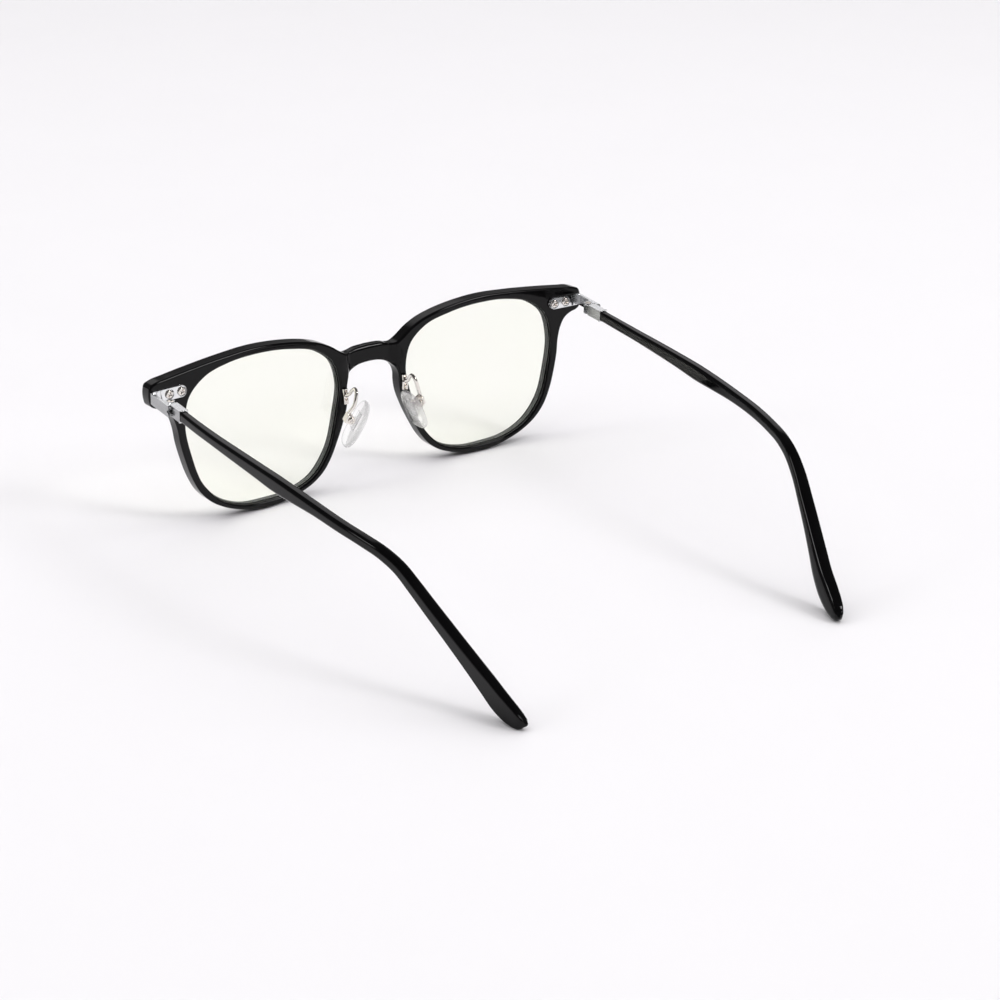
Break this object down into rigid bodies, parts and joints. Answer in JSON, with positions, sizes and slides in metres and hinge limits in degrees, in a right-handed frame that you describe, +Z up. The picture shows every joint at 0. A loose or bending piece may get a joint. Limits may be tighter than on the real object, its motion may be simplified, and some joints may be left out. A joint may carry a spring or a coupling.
{
  "type": "blue light glasses",
  "caption": "Slim black rounded-square computer glasses with clear lenses, metal end pieces, folding temples and adjustable clear nose pads.",
  "frame": {"origin": "on the floor, in the middle of the open glasses' bounding box", "axes": "+X towards the wearer's left, +Y from the front back along the temples, +Z up"},
  "size_m": [0.1394, 0.1464, 0.0461],
  "materials": {
    "gloss_black_plastic": "polished black injection-moulded plastic",
    "coated_lens": "clear lens with a faint yellow-green coating",
    "satin_silver": "satin",
    "polished_nickel": "polished, slightly warm",
    "core_steel": "drawn wire",
    "clear_silicone": "clear moulded silicone"
  },
  "bodies": {
    "front": {"front_frame": "gloss_black_plastic", "lens_left": "coated_lens", "end_piece_left": "satin_silver", "plate_screw_inner_left": "polished_nickel", "plate_screw_outer_left": "polished_nickel", "hinge_screw_left": "polished_nickel", "pad_mount_left": "polished_nickel", "pad_arm_left": "polished_nickel", "pad_box_left": "polished_nickel", "pad_screw_left": "polished_nickel", "lens_right": "coated_lens", "end_piece_right": "satin_silver", "plate_screw_inner_right": "polished_nickel", "plate_screw_outer_right": "polished_nickel", "hinge_screw_right": "polished_nickel", "pad_mount_right": "polished_nickel", "pad_arm_right": "polished_nickel", "pad_box_right": "polished_nickel", "pad_screw_right": "polished_nickel"},
    "left_temple": {"temple_hinge_left": "satin_silver", "temple_left": "gloss_black_plastic", "temple_core_left": "core_steel"},
    "left_pad": {"nose_pad_left": "clear_silicone", "pad_insert_left": "clear_silicone"},
    "right_temple": {"temple_hinge_right": "satin_silver", "temple_right": "gloss_black_plastic", "temple_core_right": "core_steel"},
    "right_pad": {"nose_pad_right": "clear_silicone", "pad_insert_right": "clear_silicone"}
  },
  "joints": [
    {"name": "left_temple_fold", "type": "hinge", "parent": "front", "child": "left_temple", "pos_m": [0.0672, -0.05938, 0.03925], "axis": [0, 0.0454, 0.999], "range_deg": [0, 83]},
    {"name": "right_temple_fold", "type": "hinge", "parent": "front", "child": "right_temple", "pos_m": [-0.0672, -0.05938, 0.03925], "axis": [0, -0.0454, -0.999], "range_deg": [0, 77]},
    {"name": "left_pad_tilt", "type": "hinge", "parent": "front", "child": "left_pad", "pos_m": [0.01114, -0.06243, 0.02174], "axis": [0.2186, 0.9689, -0.116], "range_deg": [-10, 10]},
    {"name": "right_pad_tilt", "type": "hinge", "parent": "front", "child": "right_pad", "pos_m": [-0.01114, -0.06243, 0.02174], "axis": [0.2186, -0.9689, 0.116], "range_deg": [-10, 10]}
  ]
}
